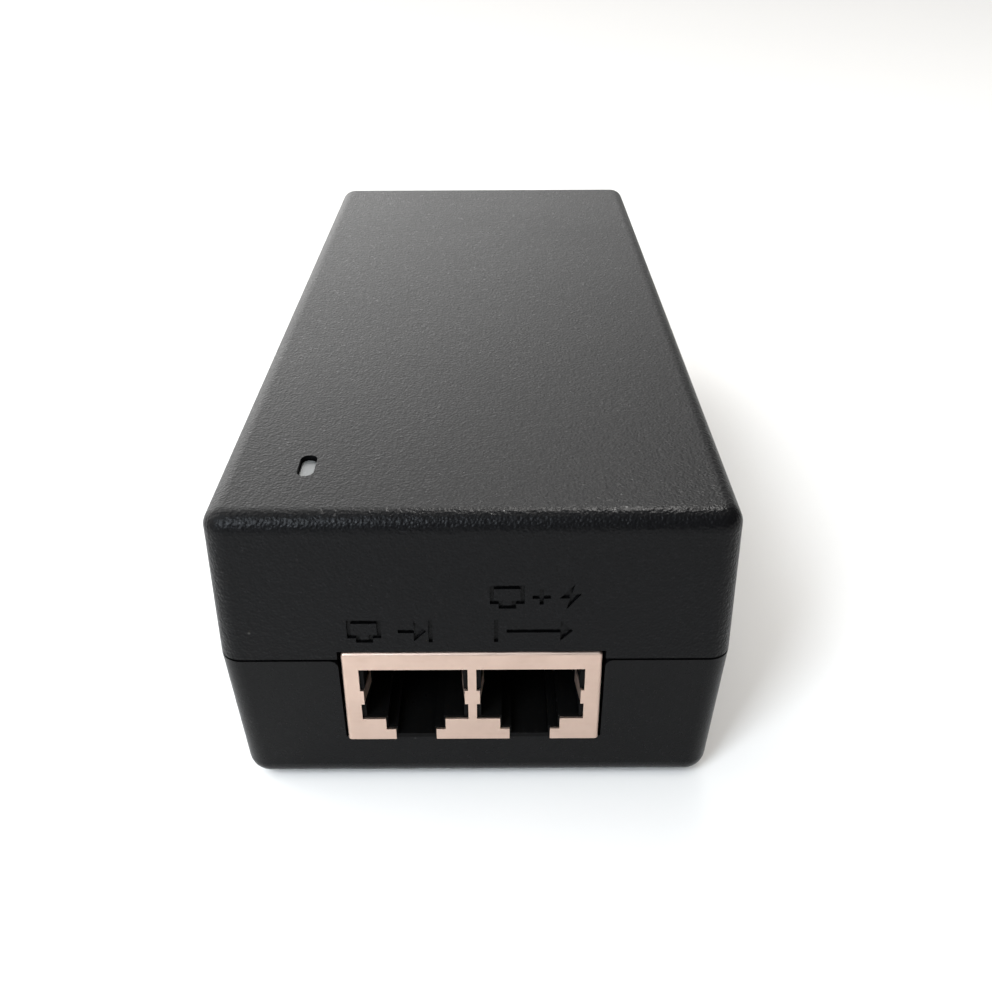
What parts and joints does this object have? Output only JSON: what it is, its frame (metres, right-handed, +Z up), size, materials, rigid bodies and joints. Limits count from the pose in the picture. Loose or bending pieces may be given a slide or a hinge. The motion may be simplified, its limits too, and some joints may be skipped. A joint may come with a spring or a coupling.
{
  "type": "poe injector",
  "caption": "Oblong desktop power-over-Ethernet injector: two-part plastic case, twin shielded network jack at one end, mains inlet at the other, lamp window on top.",
  "frame": {"origin": "middle of the injector's footprint, on the surface its rubber feet stand on", "axes": "+X to the right as the network jack is faced, +Y along the case from the network jack to the mains inlet, +Z up"},
  "size_m": [0.0606, 0.1334, 0.0406],
  "materials": {
    "case_plastic": "fine spark-eroded grain, black",
    "lower_case_plastic": "black, smoother than the top",
    "screw_steel": "zinc plated",
    "foot_rubber": "matt black",
    "plate_foil": "blank silver-grey rating plate",
    "insulation_film": "thin grey film",
    "board_laminate": "green solder mask",
    "pipe_clear": "milky translucent",
    "lamp_resin": "green lamp",
    "shield_plate": "nickel plated, satin",
    "jack_plastic": "black",
    "carrier_plastic": "black",
    "contact_gold": "gold flash",
    "inlet_plastic": "black",
    "pin_plate": "nickel plated",
    "fuse_glass": "clear tube",
    "tinned_metal": "tinned",
    "blue_coating": "dipped epoxy, blue",
    "yellow_box": "yellow moulded box",
    "ferrite": "dark grey ferrite",
    "choke_core_coat": "green coated core",
    "copper_wire": "enamelled copper",
    "bobbin_plastic": "black",
    "tape_yellow": "yellow tape",
    "chip_plastic": "black moulded",
    "chip_white": "off-white moulded",
    "sleeve_film": "shrink sleeve, dark blue",
    "sleeve_brown": "shrink sleeve, brown",
    "sink_aluminium": "bare sheet",
    "pad_grey": "grey silicone pad",
    "resistor_body": "light blue lacquer"
  },
  "bodies": {
    "injector": {"top_cover": "case_plastic", "bottom_cover": "lower_case_plastic", "case_screws": "screw_steel", "rubber_feet": "foot_rubber", "rating_plate": "plate_foil", "insulation_sheet": "insulation_film", "main_board": "board_laminate", "board_screws": "screw_steel", "light_pipe": "pipe_clear", "indicator_lamp": "lamp_resin", "jack_shield": "shield_plate", "jack_housing": "jack_plastic", "data_in_contact_carrier": "carrier_plastic", "data_in_contact_leads": "contact_gold", "power_out_contact_carrier": "carrier_plastic", "power_out_contact_leads": "contact_gold", "ac_inlet_body": "inlet_plastic", "inlet_live_pin": "pin_plate", "inlet_neutral_pin": "pin_plate", "inlet_earth_pin": "pin_plate", "fuse_tube": "fuse_glass", "fuse_caps": "tinned_metal", "fuse_clips": "tinned_metal", "varistor": "blue_coating", "x_capacitor": "yellow_box", "mains_choke_core": "choke_core_coat", "mains_choke_windings": "copper_wire", "mains_choke_base": "bobbin_plastic", "bulk_capacitor": "sleeve_film", "bridge_rectifier": "chip_plastic", "transformer_core": "ferrite", "transformer_bobbin": "bobbin_plastic", "transformer_winding": "tape_yellow", "primary_heatsink": "sink_aluminium", "secondary_heatsink": "sink_aluminium", "switching_transistor": "chip_plastic", "output_rectifier": "chip_plastic", "thermal_pads": "pad_grey", "heatsink_screws": "screw_steel", "y_capacitor": "blue_coating", "optocoupler": "chip_white", "pwm_controller": "chip_plastic", "poe_controller": "chip_plastic", "lan_magnetics": "chip_plastic", "output_capacitors": "sleeve_brown", "output_inductor_core": "ferrite", "output_inductor_winding": "copper_wire", "power_resistors": "resistor_body", "snubber_diode": "chip_plastic"},
    "data_in_contacts": {"data_in_contact_springs": "contact_gold"},
    "power_out_contacts": {"power_out_contact_springs": "contact_gold"}
  },
  "joints": [
    {"name": "data_in_contacts_flex", "type": "hinge", "parent": "injector", "child": "data_in_contacts", "pos_m": [-0.00739, -0.0642, 0.01945], "axis": [1, 0, 0], "range_deg": [0, 12], "stiffness_Nm_per_rad": 0.1},
    {"name": "power_out_contacts_flex", "type": "hinge", "parent": "injector", "child": "power_out_contacts", "pos_m": [0.00658, -0.0642, 0.01945], "axis": [1, 0, 0], "range_deg": [0, 12], "stiffness_Nm_per_rad": 0.1}
  ]
}
